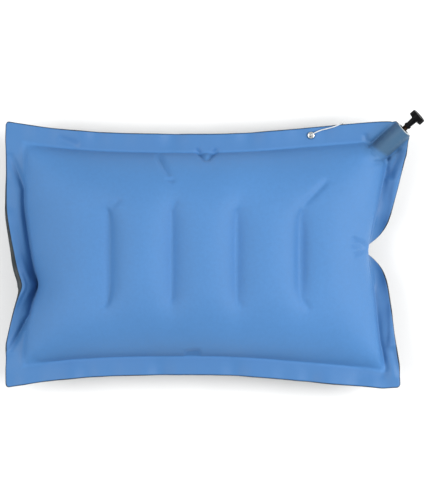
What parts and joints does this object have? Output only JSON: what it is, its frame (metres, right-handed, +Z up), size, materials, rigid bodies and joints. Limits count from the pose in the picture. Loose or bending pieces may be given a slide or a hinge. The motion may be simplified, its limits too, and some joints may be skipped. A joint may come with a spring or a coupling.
{
  "type": "inflatable camp pillow",
  "caption": "Rectangular air-filled fabric pillow with a flat welded rim, inner tie baffles, a screw-down air valve in one corner and an eyelet with a hanging loop.",
  "frame": {"origin": "middle of the flat patch of the lower panel that the pillow rests on", "axes": "+X along the pillow's width towards the valve end, +Y across it towards the eyelet edge, +Z up through its thickness"},
  "size_m": [0.4995, 0.3326, 0.112],
  "materials": {
    "blue_fabric": "matte coated weave",
    "grey_fabric": "matte coated weave",
    "sleeve_fabric": "matte coated weave",
    "film": "smooth coated film",
    "grey_plastic": "satin",
    "black_plastic": "satin",
    "rubber": "matte",
    "brass": "turned, blackened",
    "eyelet_metal": "gloss",
    "cord_white": "twisted cotton"
  },
  "bodies": {
    "pillow": {"top_panel": "blue_fabric", "bottom_panel": "grey_fabric", "baffle_1": "film", "baffle_2": "film", "baffle_3": "film", "baffle_4": "film", "valve_sleeve": "sleeve_fabric", "valve_barrel": "grey_plastic", "valve_gland": "black_plastic", "neck_seal": "rubber", "valve_seat": "rubber", "eyelet": "eyelet_metal", "eyelet_washer": "eyelet_metal", "hang_cord": "cord_white", "cord_knot": "cord_white"},
    "valve_plug": {"plug_disc": "brass", "plug_washer": "rubber"},
    "valve_screw": {"valve_spindle": "brass", "valve_knob": "black_plastic", "stop_ring": "brass"}
  },
  "joints": [
    {"name": "valve_travel", "type": "slide", "parent": "pillow", "child": "valve_plug", "axis": [-0.7241, -0.652, -0.225], "range_m": [0, 0.005]},
    {"name": "valve_turn", "type": "hinge", "parent": "valve_plug", "child": "valve_screw", "pos_m": [0.236, 0.1495, 0.06635], "axis": [-0.7241, -0.652, -0.225], "range_deg": [0, 900]}
  ],
  "couplings": [
    {"joint": "valve_turn", "follows": "valve_travel", "rad_per_m": 3141.6}
  ]
}
